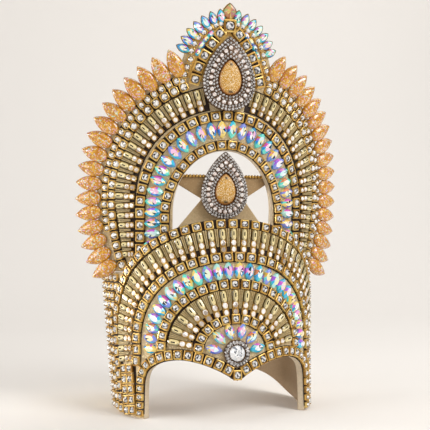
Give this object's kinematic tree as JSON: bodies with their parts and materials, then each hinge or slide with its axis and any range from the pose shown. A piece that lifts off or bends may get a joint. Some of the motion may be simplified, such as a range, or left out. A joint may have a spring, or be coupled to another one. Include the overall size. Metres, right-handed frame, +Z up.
{
  "type": "costume crown",
  "caption": "Tall costume crown: a padded brow band and a halo arch, covered in rows of set crystals, with teardrop medallions and a rim of peach stones.",
  "frame": {"origin": "middle of the footprint, on the surface that the two legs stand on", "axes": "+Z up, the front towards -Y, +X to the right as seen from the front"},
  "size_m": [0.263, 0.192, 0.3724],
  "materials": {
    "fabric": "fine glitter cloth",
    "gold_set_crystal": "gold cups with clear crystals",
    "iridescent_stone": "iridescent facets",
    "peach_stone": "clear peach facets",
    "paved_grey": "grey metal paved with small stones",
    "amber": "amber glitter",
    "clear_crystal": "clear facets"
  },
  "bodies": {
    "root": {"brow_panel": "fabric", "halo_panel": "fabric", "medallion_bridge": "fabric", "crest_medallion_setting": "paved_grey", "window_medallion_setting": "paved_grey", "brow_rosette": "paved_grey", "crest_amber_stone": "amber", "window_amber_stone": "amber", "brow_crystal": "clear_crystal", "brow_arch_1": "gold_set_crystal", "brow_short_sticks": "gold_set_crystal", "brow_arch_2": "gold_set_crystal", "brow_arch_3": "gold_set_crystal", "brow_long_sticks": "gold_set_crystal", "brow_arch_4": "gold_set_crystal", "brow_edge_chain": "gold_set_crystal", "halo_row_rim_left": "gold_set_crystal", "halo_row_rim_right": "gold_set_crystal", "halo_row_inner": "gold_set_crystal", "halo_row_middle": "gold_set_crystal", "halo_sticks": "gold_set_crystal", "halo_row_outer": "gold_set_crystal", "brow_marquise_row": "iridescent_stone", "halo_marquise_row": "iridescent_stone", "brow_fan": "iridescent_stone", "crest_fan": "iridescent_stone", "peach_left_01": "peach_stone", "peach_left_02": "peach_stone", "peach_left_03": "peach_stone", "peach_left_04": "peach_stone", "peach_left_05": "peach_stone", "peach_left_06": "peach_stone", "peach_left_07": "peach_stone", "peach_left_08": "peach_stone", "peach_left_09": "peach_stone", "peach_left_10": "peach_stone", "peach_left_11": "peach_stone", "peach_left_12": "peach_stone", "peach_left_13": "peach_stone", "peach_left_14": "peach_stone", "peach_left_15": "peach_stone", "peach_left_16": "peach_stone", "peach_left_17": "peach_stone", "peach_right_01": "peach_stone", "peach_right_02": "peach_stone", "peach_right_03": "peach_stone", "peach_right_04": "peach_stone", "peach_right_05": "peach_stone", "peach_right_06": "peach_stone", "peach_right_07": "peach_stone", "peach_right_08": "peach_stone", "peach_right_09": "peach_stone", "peach_right_10": "peach_stone", "peach_right_11": "peach_stone", "peach_right_12": "peach_stone", "peach_right_13": "peach_stone", "peach_right_14": "peach_stone", "peach_right_15": "peach_stone", "peach_right_16": "peach_stone", "peach_right_17": "peach_stone"}
  },
  "joints": []
}
